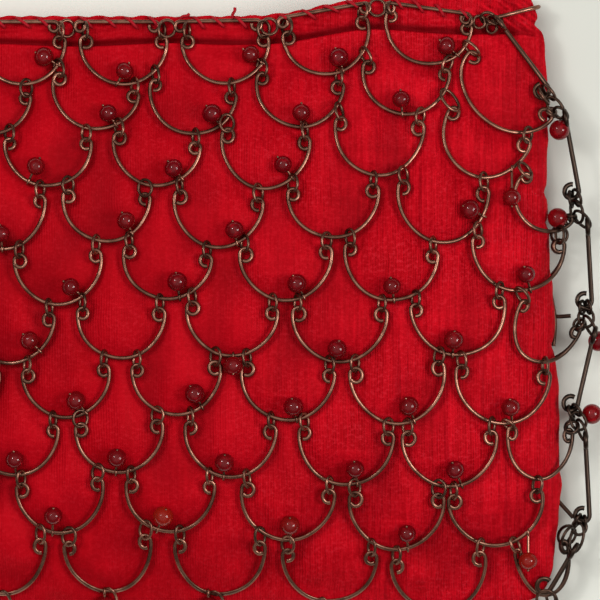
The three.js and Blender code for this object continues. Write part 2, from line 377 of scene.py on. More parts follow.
def wireMaterial():
    made, graph, shader = material("antiqueWire", {"Metallic": 1.0, "Specular IOR Level": 0.5})
    place = graph.add("ShaderNodeTexCoord")["Object"]
    tarnish = graph.between(0.34, 0.66, noiseOf(graph, place, 260.0, 3.0))
    wear = noiseOf(graph, place, 700.0, 2.0)
    across = graph.add("ShaderNodeSeparateXYZ", None, {"Vector": place})["X"]
    # tone darkens a wire: random tarnish on hoops and rings, painted shade on the side chains
    tone = graph.add("ShaderNodeAttribute", {"attribute_name": "tone"})["Fac"]
    edge = graph.between(0.0054, 0.0071, across * across)  # painted shade: darker where the wires hang beyond the edges of the cloth
    worn = graph.mix(tarnish, wireTones["bright"], wireTones["tarnished"])
    worn = graph.mix(tone, worn, wireTones["dark"])
    graph.feed(shader.inputs["Base Color"], graph.mix(edge * 0.85, worn, wireTones["beside"]))
    graph.feed(shader.inputs["Roughness"], 0.3 + 0.1 * tarnish + 0.06 * wear)
    bump = graph.add("ShaderNodeBump", None, {"Strength": 0.04, "Distance": 0.00006, "Height": wear})
    graph.feed(shader.inputs["Normal"], bump)
    return made


beadTones = {
    "deep": (0.19, 0.0006, 0.005, 1),
    "vein": (0.4, 0.005, 0.014, 1),
    "orange": (0.5, 0.024, 0.008, 1),
}


def beadMaterial():
    look = {"Roughness": 0.09, "IOR": 1.45, "Transmission Weight": 0.5, "Specular IOR Level": 0.24}
    made, graph, shader = material("redBead", look)
    place = graph.add("ShaderNodeTexCoord")["Object"]
    tone = graph.add("ShaderNodeAttribute", {"attribute_name": "tone"})["Fac"]
    vein = graph.between(0.5, 0.74, noiseOf(graph, place, 700.0, 4.0))
    deep = graph.mix(vein, beadTones["deep"], beadTones["vein"])
    graph.feed(shader.inputs["Base Color"], graph.mix(tone, deep, beadTones["orange"]))
    return made


threadTones = {"deep": (0.22, 0.002, 0.008, 1), "bright": (0.43, 0.012, 0.02, 1)}


def threadMaterial():
    made, graph, shader = material("redThread", {"Roughness": 0.6, "Specular IOR Level": 0.12})
    place = graph.add("ShaderNodeTexCoord")["Object"]
    twist = noiseOf(graph, stretched(graph, place, (2500.0, 900.0, 2500.0)), 1.0, 2.0)
    graph.feed(shader.inputs["Base Color"], graph.mix(twist, threadTones["deep"], threadTones["bright"]))
    return made


paperTones = {
    "dim": (0.655, 0.663, 0.612, 1),
    "clear": (0.76, 0.765, 0.707, 1),
    "corner": (0.585, 0.592, 0.547, 1),
}


def paperMaterial():
    made, graph, shader = material("paper", {"Roughness": 0.85, "Specular IOR Level": 0.2})
    place = graph.add("ShaderNodeTexCoord")["Object"]
    cloud = noiseOf(graph, place, 9.0, 3.0)
    fibre = noiseOf(graph, place, 900.0, 2.0)
    spot = graph.add("ShaderNodeSeparateXYZ", None, {"Vector": place})
    # painted shade: the paper darker to the right, and darker still in its top right corner
    right = graph.between(0.03, 0.09, spot["X"])
    share = cloud * 0.7 + fibre * 0.3 - right
    sheet = graph.mix(share, paperTones["dim"], paperTones["clear"])
    corner = right * graph.between(0.02, 0.06, spot["Y"])
    graph.feed(shader.inputs["Base Color"], graph.mix(corner, sheet, paperTones["corner"]))
    return made


silk = silkMaterial()
wire = wireMaterial()
glass = beadMaterial()
thread = threadMaterial()
paper = paperMaterial()
print("materials made")


hoopsAside = (  # how far each hoop hangs to the right of its even row, from the second hoop of a row
    (0, 0, 0, -0.3, 0),
    (-1.6, 0, -1.2, 0, 2.2, 1.6),
    (0, -0.5, -1.2, 0, -0.8),
    (1, -0.7, -0.7, 0, -0.5, 2.7),
    (0, -1, 0, -2, 1.4),
    (0, 0, 0, -0.8, 1, 0),
    (0, 0, 0.2, 0, -1.1),
    (1.6, 0, 0, 1, -0.8, -1),
    (0, 0, 1.7, 1.3, -1.3),
    (1.4, 0, 0, -0.5, -1.1, -0.6),
)
hoopsLower = (  # and how much longer its rings let it down
    (0, 0, 0, 0.5, -1.5),
    (0, 0, 0.2, 0.2, -0.4, 0.2),
    (0, 0.2, 1.9, 1.1, 1.2),
    (1, -0.2, 0.4, -1.1, 0.7, 0),
    (0.5, -0.7, -0.4, -1.1, -0.7),
    (0.8, -0.3, -0.7, -1.1, -0.9, 1),
    (-0.2, -0.2, -0.6, 0, -0.6),
    (-0.4, -0.5, -0.3, -0.9, -1.2, 0.3),
    (0, -0.5, -0.9, -0.9, -1.5),
    (1.4, 0.7, 0.3, -1.7, -0.8, 1.7),
)


def hoopGrowth(x, down):  # the hoops over the belly are the larger ones
    return 1 + bag["growth"] * float(smooth(-30, 35, x) * smooth(20, 90, down))


def hoopCurve(hoop, turns):  # plan of a hoop from its left side round the bottom
    angle = np.radians(200 + 140 * np.arange(turns + 1) / turns)
    out = hoop["half"] * np.cos(angle)[:, None] * hoop["way"]
    return hoop["middle"] + out + hoop["depth"] * np.sin(angle)[:, None] * hoop["across"]


def pointOn(hoop, at):  # where a ring lies on the hoop above
    limit = bag["hangLimit"] * hoop["half"] * math.cos(hoop["tilt"])
    x = min(max(at, hoop["middle"][0] - limit), hoop["middle"][0] + limit)
    curve = hoopCurve(hoop, 4)
    return np.array((x, np.interp(x, curve[:, 0], curve[:, 1])))


def sideJoint(i, side, inside=0):
    out = sideJoints["right" if side > 0 else "left"][i] - inside * sideJoints["inside"][i]
    return np.array((side * out, -sideJoints["down"][i]))


def hangHoop(net, r, i, count):  # one hoop with its hang points, tilt and middle, in the plan
    even = r % 2 == 1
    side = 0 if not even else -1 if i == 0 else 1 if i == count - 1 else 0
    regular = rows["middle"][r] + (i - (count - 1) / 2) * rows["pitch"][r]
    aside, lower = (hoopsAside[r][i - 1], hoopsLower[r][i - 1]) if i else (0, 0)
    x = {0: regular, -1: rows["leftEnd"][r], 1: rows["rightEnd"][r]}[side] + aside
    grow = hoopGrowth(x, bag["rowStep"] * (r + 1))
    ends = []
    for hand in (-1, 1):
        at = x + hand * (bag["hoopRadius"] * grow - bag["scrollRadius"])
        if r == 0:
            ends.append(np.array((at, float(wireRise(at)) - bag["rimWire"] / 2 - bag["gap"])))
        elif side and hand == side:
            ends.append(sideJoint((r - 1) // 2, side, 1))
        else:
            above = i - 1 if even and hand < 0 else i if even or hand < 0 else i + 1
            ends.append(pointOn(net[r - 1][above], at))
    span = ends[1] - ends[0]
    tilt = math.atan2(span[1], span[0])
    loose = bag["sagDrop"] * math.exp(-(((x - bag["sagX"]) / bag["sagSpread"]) ** 2)) if r else 0
    drop = (rows["drop"][r] + loose) * (bag["endDrop"] if side else 1) + lower
    middle = (ends[0] + ends[1]) / 2 - (0, drop + bag["scrollRadius"] * math.cos(tilt))
    half = float(np.hypot(*span)) / 2 - bag["endTuck"] if side else bag["hoopRadius"] * grow
    way = np.array((math.cos(tilt), math.sin(tilt)))
    across = np.array((-way[1], way[0]))
    depth = bag["hoopDepth"] * grow * (rows["endDepth"][r] if side else 1)
    lift = bag["liftShare"] * max(0, drop - bag["ringDrop"])  # a deeper hoop makes up a longer drop
    return {
        "ends": ends,
        "tilt": tilt,
        "way": way,
        "across": across,
        "middle": middle,
        "half": half,
        "depth": depth,
        "row": r,
        "place": i,
        "wide": half / bag["hoopRadius"],
        "deep": (depth + lift) / bag["hoopDepth"],
        "top": middle + lift * across,
    }


net = []
for r in range(10):
    count = bag["across"] + r % 2
    net.append([hangHoop(net, r, i, count) for i in range(count)])
hoops = [hoop for row in net for hoop in row]
print("net laid out:", len(hoops), "hoops a side")


def onHoop(hoop, x, y):  # plan of a point of a hoop from its own flat coordinates
    return hoop["top"] + hoop["way"] * x * hoop["wide"] + hoop["across"] * y * hoop["deep"]


def toRow(points):  # from millimetres on the bag's own lines to the row frame
    return (np.asarray(points, float) + (0, rimLine, 0)) * mm


def flat(point, z=0.0):
    return np.array((point[0], point[1], z))


def plainObject(name, mesh):
    made = bpy.data.objects.new(name, mesh)
    bpy.context.scene.collection.objects.link(made)
    return made


def lineObject(name, points, group, closed=False):  # a bare line to be made into wire
    data = bpy.data.curves.new(name, "CURVE")
    data.dimensions = "3D"
    spline = data.splines.new("POLY")
    spline.points.add(len(points) - 1)
    spline.use_cyclic_u = closed
    for point, place in zip(spline.points, points):
        point.co = (*(np.asarray(place) * mm), 1.0)
    group.objects.link(bpy.data.objects.new(name, data))


def nodeGroup(name, sockets):
    tree = bpy.data.node_groups.new(name, "GeometryNodeTree")
    tree.interface.new_socket("Geometry", in_out="OUTPUT", socket_type="NodeSocketGeometry")
    tree.interface.new_socket("Points", in_out="INPUT", socket_type="NodeSocketGeometry")
    for label, kind in sockets.items():
        tree.interface.new_socket(label, in_out="INPUT", socket_type=kind)
    graph = Graph(tree)
    return tree, graph, graph.add("NodeGroupInput")


def stored(graph, name, kind):
    return graph.add("GeometryNodeInputNamedAttribute", {"data_type": kind}, {"Name": name})


def placed(graph, points, shape, choose):  # copies of a shape turned and sized as the points say
    turn = graph.add("FunctionNodeEulerToRotation", None, {"Euler": stored(graph, "turn", "FLOAT_VECTOR")})
    size = stored(graph, "size", "FLOAT_VECTOR")
    inputs = {"Points": points, "Instance": shape, "Rotation": turn, "Scale": size}
    if choose:
        inputs.update({"Pick Instance": True, "Instance Index": stored(graph, "kind", "INT")})
    copies = graph.add("GeometryNodeInstanceOnPoints", None, inputs)
    return graph.add("GeometryNodeRealizeInstances", None, {"Geometry": copies})


def finishTree(graph, geometry, given):
    soft = graph.add("GeometryNodeSetShadeSmooth", None, {"Geometry": geometry})
    done = graph.add("GeometryNodeSetMaterial", None, {"Geometry": soft, "Material": given["Finish"]})
    graph.add("NodeGroupOutput", None, {"Geometry": done})


def wireTree():
    sockets = {"Shapes": "NodeSocketCollection", "Wire radius": "NodeSocketFloat", "Sides": "NodeSocketInt"}
    tree, graph, given = nodeGroup("wires on points", {**sockets, "Finish": "NodeSocketMaterial"})
    apart = {"Collection": given["Shapes"], "Separate Children": True, "Reset Children": True}
    shapes = graph.add("GeometryNodeCollectionInfo", None, apart)
    lines = placed(graph, given["Points"], shapes, True)
    sizes = {"Resolution": given["Sides"], "Radius": given["Wire radius"]}
    ring = graph.add("GeometryNodeCurvePrimitiveCircle", None, sizes)
    parts = {"Curve": lines, "Profile Curve": ring, "Fill Caps": True}
    tubes = graph.add("GeometryNodeCurveToMesh", None, parts)
    finishTree(graph, tubes, given)
    return tree


def beadTree():
    sockets = {"Radius": "NodeSocketFloat", "Segments": "NodeSocketInt", "Rings": "NodeSocketInt"}
    tree, graph, given = nodeGroup("beads on points", {**sockets, "Finish": "NodeSocketMaterial"})
    sizes = {"Segments": given["Segments"], "Rings": given["Rings"], "Radius": given["Radius"]}
    ball = graph.add("GeometryNodeMeshUVSphere", None, sizes)
    finishTree(graph, placed(graph, given["Points"], ball, False), given)
    return tree


wires = wireTree()
balls = beadTree()


def scatter(name, spots, tree, values):  # runs a node group over the spots and keeps a plain mesh
    mesh = bpy.data.meshes.new(name + "Points")
    mesh.from_pydata([tuple(toRow(spot["at"])) for spot in spots], [], [])
    for key, kind, field, fallback in (
        ("turn", "FLOAT_VECTOR", "vector", (0, 0, 0)),
        ("size", "FLOAT_VECTOR", "vector", (1, 1, 1)),
        ("kind", "INT", "value", 0),
        ("tone", "FLOAT", "value", 0.0),
    ):
        data = mesh.attributes.new(key, kind, "POINT").data
        data.foreach_set(field, np.array([spot.get(key, fallback) for spot in spots]).ravel())
    source = plainObject(name + "Points", mesh)
    modifier = source.modifiers.new("nodes", "NODES")
    modifier.node_group = tree
    for item in tree.interface.items_tree:
        if item.in_out == "INPUT" and item.name in values:
            modifier[item.identifier] = values[item.name]
    bpy.context.view_layer.update()
    made = bpy.data.meshes.new_from_object(source.evaluated_get(bpy.context.evaluated_depsgraph_get()))
    source.modifiers.remove(modifier)
    bpy.data.objects.remove(source)
    made.name = name
    return plainObject(name, made)


def drape(piece, height, onTable=False):  # lays a flat piece over a height above the table
    mesh = piece.data
    place = np.empty(3 * len(mesh.vertices))
    mesh.vertices.foreach_get("co", place)
    place = place.reshape(-1, 3)
    place[:, 2] += height(place[:, 0] / mm, place[:, 1] / mm - rimLine) * mm
    if onTable:
        place[:, 2] = np.maximum(place[:, 2], 0.00002)
    mesh.vertices.foreach_set("co", place.ravel())
    mesh.update()
    return piece


def onFront(x, y):
    return bridge(x, y, bag["hoopWire"] / 2 + 0.05)


def onBack(x, y):
    return under(x, y, bag["hoopWire"] / 2)


def dress(piece, slot, *nodes):
    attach(piece, "root")
    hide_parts(*nodes)
    print(piece.name, len(piece.data.polygons), "faces")


def turnOf(x, y):  # angles that take the local axes to these two directions
    ex = Vector(x).normalized()
    ez = ex.cross(Vector(y)).normalized()
    return tuple(Matrix((ex, ez.cross(ex), ez)).transposed().to_euler())


def group(name):
    return bpy.data.collections.new(name)  # left out of the scene, so only copies show


def arc(center, radius, start, end, steps, lift=0.0):
    line = []
    for a, z in zip(np.radians(np.linspace(start, end, steps)), np.linspace(0, lift, steps)):
        line.append((center[0] + radius * math.cos(a), center[1] + radius * math.sin(a), z))
    return line


hoopShape = {"variants": 7, "curl": (275, 335), "scroll": (1.2, 1.42), "uneven": 0.012, "lean": 0.02}


def hoopSide(uneven):  # the right half of a hoop, from the bottom out to the end of its curl
    scroll = rng.uniform(*hoopShape["scroll"])
    curl = rng.uniform(*hoopShape["curl"])
    phase = rng.uniform(0, 6.28)
    half = []
    for angle in np.radians(np.linspace(-90, 0, 22)):
        grow = 1 + uneven * math.sin(3 * angle + phase) * math.cos(angle) * math.sin(-angle) * 2
        x = bag["hoopRadius"] * math.cos(angle) * grow
        y = bag["hoopDepth"] * math.sin(angle) * grow
        half.append((x, y, 0))
    center = (bag["hoopRadius"] - scroll, 0)
    return half[1:] + arc(center, scroll, 0, curl, 18, 0.4)[1:]


hoopLines = group("hoopLines")
for n in range(hoopShape["variants"]):
    right = hoopSide(hoopShape["uneven"])
    left = [(-x, y, z) for x, y, z in reversed(hoopSide(hoopShape["uneven"]))]
    lineObject("hoopLine%d" % n, left + [(0, -bag["hoopDepth"], 0)] + right, hoopLines)


def hoopSpots():
    spots = []
    for hoop in hoops:
        turn = (rng.normal(0, hoopShape["lean"]), rng.normal(0, hoopShape["lean"]), hoop["tilt"])
        kind = int(rng.integers(hoopShape["variants"]))
        size = (hoop["wide"], hoop["deep"], 1)
        tone = rng.uniform(0, 0.3)
        spots.append({"at": flat(hoop["top"]), "turn": turn, "size": size, "kind": kind, "tone": tone})
    return spots


ringShape = {
    "variants": 3,
    "steep": (52, 72),
    "open": (30, 50),
    "steepShare": 0.82,
    "back": (3, 8),
    "slack": 0.72,
    "oval": 0.94,
    "widest": 1.95,
    "rise": 0.3,
    "catch": 1.25,
}
ringLines = group("ringLines")
for n in range(ringShape["variants"]):
    oval = 1 + 0.04 * (n - 1)
    ringLine = [(x, y * oval, 0) for x, y, _ in arc((0, 0), 1, 0, 342, 20)]
    lineObject("ringLine%d" % n, ringLine, ringLines, True)


def ringBetween(low, high, lean, lift=0.0):  # a jump ring that holds two wires
    way = np.subtract(high, low)
    span = float(np.linalg.norm(way))
    way = way / span
    side = np.cross(way, (0, 0, 1.0))
    side = side / np.linalg.norm(side)
    across = side * math.cos(lean) + np.cross(side, way) * math.sin(lean)
    radius = span / 2 + ringShape["slack"]
    at = (np.asarray(low) + high) / 2 + (0, 0, lift + ringShape["rise"] * radius * abs(math.sin(lean)))
    size = (min(radius * ringShape["oval"], ringShape["widest"]), radius, 1)
    kind = int(rng.integers(ringShape["variants"]))
    tone = rng.uniform(0, 0.8)
    return {"at": at, "turn": turnOf(across, way), "size": size, "kind": kind, "tone": tone}


def frontLean():
    steep = rng.random() < ringShape["steepShare"]
    return math.radians(rng.uniform(*ringShape["steep" if steep else "open"])) * rng.choice((-1, 1))


def backLean():
    return math.radians(rng.uniform(*ringShape["back"]))


def hangRings(lean, lift):
    rings = []
    reach = bag["hoopRadius"] - bag["scrollRadius"]
    for hoop in hoops:
        for hand, end in zip((-1, 1), hoop["ends"]):
            low = onHoop(hoop, hand * reach, ringShape["catch"])
            rings.append(ringBetween(flat(low), flat(end), lean(), lift))
    return rings


wireLook = {"Shapes": hoopLines, "Wire radius": bag["hoopWire"] / 2 * mm, "Sides": 8, "Finish": wire}
frontHoops = drape(scatter("frontHoops", hoopSpots(), wires, wireLook), onFront)
backHoops = drape(scatter("backHoops", hoopSpots(), wires, {**wireLook, "Sides": 6}), onBack, True)
frontRings = hangRings(frontLean, 0.4)
backRings = hangRings(backLean, 0.1)
for hoop in net[-1]:  # loose rings on the lowest hoops
    low = onHoop(hoop, rng.uniform(-1.5, 1.5), -bag["hoopDepth"])
    lean = math.radians(rng.uniform(20, 60))
    frontRings.append(ringBetween(flat(low, -1.8) - (0, 2.4, 0), flat(low), lean, 0.2))
print("nets made")

beadShape = {
    "radius": 2.3,
    "stand": 3.5,
    "jitter": 7,
    "reaches": (0.88, 1.16),
    "sizes": (0.93, 1.07),
    "flatten": 0.95,
    "sideSize": 1.06,
}
beadTurns = (  # degrees round each hoop from its bottom, from the second hoop of a row
    (57, -8, 58, 12, 49),
    (None, 40, 47, 8, 0, None),
    (-26, 42, 43, None, 56),
    (0, 38, 30, None, 65, None),
    (31, 22, 21, 8, 17),
    (48, None, 5, -7, -12, None),
    (23, 33, 15, 16, 15),
    (2, -7, -6, 17, 14, None),
    (-15, -16, 8, 15, 40),
    (None, -10, -14, None, None, None),
)
beadsOut = {(2, 5): 6.9, (5, 3): 2.4, (8, 5): 6.9, (9, 2): 3.4, (9, 3): 3.2}  # these hang below
brightBeads = {(8, 2): 0.6, (8, 3): 0.25, (8, 5): 0.5}
beadSpots, pinSpots, headSpots = [], [], []
for hoop in hoops:
    r, i = hoop["row"], hoop["place"]
    degrees = rng.normal(10, 20) if i == 0 else beadTurns[r][i - 1]
    if degrees is None:
        continue
    angle = math.radians(degrees - 90)
    plan = onHoop(hoop, bag["hoopRadius"] * math.cos(angle), bag["hoopDepth"] * math.sin(angle))
    inward = math.radians(degrees + 90 + rng.normal(0, beadShape["jitter"])) + hoop["tilt"]
    reach = beadShape["stand"] * rng.uniform(*beadShape["reaches"])
    place = plan + reach * np.array((math.cos(inward), math.sin(inward)))
    if (r, i) in beadsOut:
        place = plan - (0, beadsOut[r, i])
    at = flat(place, float(cover(place[0], place[1], beadShape["radius"] - 0.1)))
    foot = flat(plan, float(onFront(plan[0], plan[1])))
    way = (at - foot) / np.linalg.norm(at - foot)
    side = np.cross(way, (0, 0, 1.0))
    grow = rng.uniform(*beadShape["sizes"])
    tone = brightBeads.get((r, i), rng.uniform(0, 0.1))
    size = (grow, grow * beadShape["flatten"], grow)
    beadSpots.append({"at": at, "turn": turnOf(side, way), "size": size, "tone": tone})
    pinSpots.append({"at": foot, "turn": turnOf(np.cross(way, side), way)})
    headSpots.append({"at": at + way * beadShape["radius"] * 0.97, "turn": turnOf(side, way)})
for side in (1, -1):
    for i in range(4):
        out, down, up = (sideJoints[key][i] for key in ("beadOut", "beadDown", "beadUp"))
        x, y = sideJoint(i, side) + (side * out, -down)
        tone = rng.uniform(0, 0.1)
        size = np.full(3, beadShape["sideSize"])
        beadSpots.append({"at": (x, y, bag["chainHeight"] + up), "size": size, "tone": tone})
pinShape = {"radius": 0.33, "head": 0.32, "loop": 0.75, "step": 0.3, "steps": 14}
pinLines = group("pinLines")
pinLoop = arc((0, 0), pinShape["loop"], -230, 90, 14)
pinStem = [(0, pinShape["loop"] + pinShape["step"] * n, 0) for n in range(1, pinShape["steps"] + 1)]
lineObject("pinLine", pinLoop + pinStem, pinLines)
beadLook = {"Radius": beadShape["radius"] * mm, "Segments": 40, "Rings": 24, "Finish": glass}
beads = scatter("beads", beadSpots, balls, beadLook)
headLook = {"Radius": pinShape["head"] * mm, "Segments": 12, "Rings": 7, "Finish": wire}
heads = scatter("pinHeads", headSpots, balls, headLook)
pinLook = {"Shapes": pinLines, "Wire radius": pinShape["radius"] * mm, "Sides": 7, "Finish": wire}
pins = scatter("eyePins", pinSpots, wires, pinLook)
print("beads made")

chainShape = {"rimLoop": 1.15, "sideLoop": 1.75, "pull": 3.1, "rimRing": 2.0, "lift": 0.35}


def linkLine(length, loop, upright):  # a straight link with both ends turned into loops
    end = arc((length / 2, -loop), loop, 90, -200, 18)
    straight = [(x, 0, 0) for x in np.linspace(-length / 2, length / 2, 9)[1:-1]]
    start = [(-x, 0, -y) if upright else (-x, y, 0) for x, y, _ in reversed(end)]
    return start + straight + end


linkLines = group("linkLines")
linkSpots = {"front": [], "back": [], 1: [], -1: []}
linkRings = {"front": [], "back": [], 1: [], -1: []}


def addLink(owner, start, end, loop, turned, upright):  # a link between two points of the plan
    way = np.subtract(end, start)
    kind = len(linkLines.objects)
    lineObject("linkLine%02d" % kind, linkLine(float(np.hypot(*way)), loop, upright), linkLines)
    side = (-way[1] * turned, way[0] * turned, 0)
    at = flat((np.asarray(start) + end) / 2, chainShape["lift"])
    # painted shade: upright side links darker, rim links a little tarnished
    tone = 0.85 if upright else 0.15
    linkSpots[owner].append({"at": at, "turn": turnOf(flat(way), side), "kind": kind, "tone": tone})


def addRing(owner, low, high, degrees, lift=0.3):
    ring = ringBetween(flat(low), flat(high), math.radians(degrees), lift)
    # painted shade: chain rings darker than their random tarnish alone
    linkRings[owner].append({**ring, "tone": 0.4 + 0.6 * ring["tone"]})


def flatRing(owner, at, radius, lean):
    turn = (rng.uniform(-lean, lean), rng.uniform(-lean, lean), rng.uniform(0, 6))
    place = flat(at, chainShape["lift"])
    size = (radius, radius, 1)
    linkRings[owner].append({"at": place, "turn": turn, "size": size, "kind": 1, "tone": 0.5})


xs = np.array((-82, -60.9, -36.7, -12.7, 11.8, 37.7, 62.2))  # where the links of the rim meet
rise = wireRise(xs)
for owner in ("front", "back"):
    for a, b in zip(xs[:-1], xs[1:]):
        ends = [(x, np.interp(x, xs, rise)) for x in (a + chainShape["pull"], b - chainShape["pull"])]
        addLink(owner, ends[0], ends[1], chainShape["rimLoop"], 1, False)
    for x, y in zip(xs, rise):
        size = chainShape["rimRing"] * (0.75 if x > 60 else 1)
        flatRing(owner, (x, y - 1.6), size, 0.45 if owner == "front" else 0.04)
addRing("front", (65.4, 0.6), (63.2, 1.2), 40)
addRing("front", (67.0, 0.2), (64.8, 0.8), -55)
flatRing("front", (65.2, -1.2), 1.5, 0.5)


def joinChain(side, low, joint, top):  # the jump rings of one joint, from a link down to the next one
    way = (joint - low) / np.linalg.norm(joint - low)
    aside = np.array((-way[1], way[0]))
    half = (low + joint) / 2
    addRing(side, half + aside * 0.9, low + aside * 0.7 + way * 0.8, rng.uniform(62, 80))
    addRing(side, half - aside * 0.8, low - aside * 0.6 + way * 0.8, -rng.uniform(62, 80))
    addRing(side, joint + way * 0.6, half, rng.uniform(15, 45))
    addRing(side, top - way * 0.4, joint - way * 0.8, rng.uniform(40, 70))


for side in (1, -1):
    shifts = [0] * 6 if side > 0 else [17.3, 3, 0, 0, 0, 0]  # the left chain starts further out
    lows, tops = [], []
    for n in range(6):
        columns = ("topOut", "topDown", "lowOut", "lowDown")
        topOut, topDown, lowOut, lowDown = (sideLinks[key][n] for key in columns)
        tops.append(np.array((side * (topOut + shifts[n]), -topDown)))
        lows.append(np.array((side * (lowOut + (shifts[n] if n else 8.0 if side < 0 else 0)), -lowDown)))
        addLink(side, tops[n], lows[n], chainShape["sideLoop"], side, True)
    for n in range(5):
        joinChain(side, lows[n] + (-side * chainShape["sideLoop"], 0), sideJoint(n, side), tops[n + 1])
    flatRing(side, sideJoint(5, side) + (-0.6 * side, -1.2), 2.3, 0.3)


def onRim(x, y):
    return bridge(x, y, bag["rimWire"] / 2 + 0.1)


def underRim(x, y):
    return under(x, y, bag["rimWire"] / 2)


backTies = (  # wires of the back net that show beside the right edge
    ((79.6, -65.5), (80.3, -69), (80.6, -73), (80.2, -77.8)),
    ((79.2, -70.4), (81.3, -70.7), (84.4, -70.5)),
    ((80.4, -114), (82.2, -116), (85, -119.1)),
)


linkLook = {"Shapes": linkLines, "Wire radius": bag["rimWire"] / 2 * mm, "Sides": 9, "Finish": wire}
ringLook = {"Shapes": ringLines, "Wire radius": bag["ringWire"] / 2 * mm, "Sides": 7, "Finish": wire}
frontRim = drape(scatter("frontRim", linkSpots["front"], wires, linkLook), onRim)
backRim = drape(scatter("backRim", linkSpots["back"], wires, linkLook), underRim, True)
chainLook = {**linkLook, "Wire radius": bag["chainWire"] / 2 * mm}
rightChain = drape(scatter("rightChain", linkSpots[1], wires, chainLook), onRim)
leftChain = drape(scatter("leftChain", linkSpots[-1], wires, chainLook), onRim)
frontRings += linkRings["front"]
frontJump = drape(scatter("frontRings", frontRings, wires, ringLook), onFront)
backRings += linkRings["back"]
backJump = drape(scatter("backRings", backRings, wires, {**ringLook, "Sides": 5}), onBack, True)
rightJump = drape(scatter("rightRings", linkRings[1], wires, ringLook), onRim)
leftJump = drape(scatter("leftRings", linkRings[-1], wires, ringLook), onRim)


def through(points, steps):  # a smooth line through a few points
    points = np.asarray(points, float)
    ahead = np.vstack((2 * points[0] - points[1], points, 2 * points[-1] - points[-2]))
    line = []
    for a, b, c, d in zip(ahead, ahead[1:], ahead[2:], ahead[3:]):
        for t in np.arange(steps) / steps:
            line.append(b + 0.5 * t * (c - a + t * (2 * a - 5 * b + 4 * c - d + t * (3 * (b - c) + d - a))))
    return line + [points[-1]]


edgeLinks = table("side linkX linkY turnY", (1, 65.6, 0.9, 3.8), (-1, -83.4, 0.2, 0.2))


def edgeLink(n):  # the link that carries the rim round one end of the mouth
    side, linkX, linkY, turnY = (edgeLinks[key][n] for key in ("side", "linkX", "linkY", "turnY"))
    down = downAt(linkX + 8 * side, turnY)
    tip = section("lean", down) + side * (section("halfWidth", down) + 1.0)
    plan = [(linkX + (tip - linkX) * t, linkY + (turnY - linkY) * t) for t in (0, 0.45, 0.85)]
    front = [flat(point, float(onRim(*point))) for point in plan]
    back = [flat(point, float(underRim(*point))) for point in reversed(plan)]
    turn = np.array((tip, turnY, float(section("edge", down))))
    lines = group("edgeLine%d" % n)
    lineObject("edgeLine%d" % n, through(front + [turn] + back, 8), lines)
    return scatter("edgeLink%d" % n, [{"at": (0, 0, 0)}], wires, {**linkLook, "Shapes": lines})


def backTie(n, points):
    lines = group("tieLine%d" % n)
    line = [flat(point, 3.4 + 0.4 * k) for k, point in enumerate(points)]
    lineObject("tieLine%d" % n, through(line, 5), lines)
    return scatter("backTie%d" % n, [{"at": (0, 0, 0)}], wires, {**wireLook, "Shapes": lines})


ties = [backTie(n, points) for n, points in enumerate(backTies)]
rightLink = edgeLink(0)
leftLink = edgeLink(1)
print("chains made")

stitchShape = {"radius": 0.38, "joint": 2.8, "from": -79.5, "to": 61, "sizes": (0.9, 1.1)}
whipOver = (
    (-1.5, 0.75, -1.6),
    (-1.4, 0.85, -0.7),
    (-0.95, 0.75, 0.25),
    (0, 0.05, 0.82),
    (0.85, -0.8, 0.4),
    (1.2, -1.15, -0.1),
    (1.3, -1.3, -0.8),
)
tuft = ((0, 0, 0), (0.4, 0.8, 0.4), (1.2, 1.4, 0.9), (1.5, 2.1, 0.9))
tufts = ((-9.6, -0.4, -0.5), (3, -0.3, 0.4))
stitchLines = group("stitchLines")
lineObject("stitchLine0", through(whipOver, 3), stitchLines)
lineObject("stitchLine1", through(tuft, 4), stitchLines)
stitchSpots = []
for x in np.arange(stitchShape["from"], stitchShape["to"], bag["stitchStep"]):
    at = x + rng.uniform(-0.5, 0.5)
    if np.min(np.abs(xs - at)) < stitchShape["joint"]:
        continue
    y = float(wireRise(at))
    lean = math.atan2(float(wireRise(at + 1)) - y, 1) + rng.normal(0, 0.1)
    size = np.full(3, rng.uniform(*stitchShape["sizes"]))
    stitchSpots.append({"at": (at, y, 0), "turn": (0, 0, lean), "size": size, "kind": 0})
for x, y, lean in tufts:
    stitchSpots.append({"at": (x, y + bag["mouthStand"], -0.6), "turn": (0, 0, lean), "kind": 1})
threadRadius = stitchShape["radius"] * mm
stitchLook = {"Shapes": stitchLines, "Wire radius": threadRadius, "Sides": 7, "Finish": thread}
stitches = drape(scatter("whipStitch", stitchSpots, wires, stitchLook), onRim)
print("stitches made")

pouchShape = {
    "front": 300,
    "back": 100,
    "press": 0.6,
    "puff": 1.5,
    "reach": 2.5,
    "soft": 1.7,
    "fold": 1.8,
    "fine": 0.16,
    "step": 0.75,
    "crease": 0.6,
    "pleat": 0.55,
    "pucker": 0.35,
    "groove": 0.92,
    "valley": 0.2,
    "scallop": 0.45,
    "wave": 0.7,
}
edgeDips = ((6.2, 1.1, 1.4), (42, 1.3, 0.9), (49.5, 1.2, 0.8), (78.7, 1.3, 0.8))  # nicks in the right edge


def pouchRings(downs, inset):  # grid of points, a row for each distance down
    upper = np.linspace(0, math.pi, pouchShape["front"], endpoint=False)
    lower = math.pi + np.linspace(0, math.pi, pouchShape["back"], endpoint=False)
    angle = np.concatenate((upper, lower))[None, :]
    down = np.asarray(downs, float)[:, None]
    s = np.sign(np.cos(angle)) * np.abs(np.cos(angle)) ** 0.8
    half = section("halfWidth", down) - inset * 1.1
    edge = section("edge", down)
    top = section("top", down) - inset
    low = section("under", down) + inset
    x = section("lean", down) + s * half
    y = bag["mouthStand"] - down + clothRise(x) * riseShare(down)
    z = np.where(np.sin(angle) >= 0, edge + (top - edge) * dome(s), edge - (edge - low) * bed(s))
    front = np.where(np.sin(angle) > 1e-6, 1.0, 0.0) + 0 * down
    return np.stack((x, y, z), axis=-1), front * dome(s), down + 0 * s


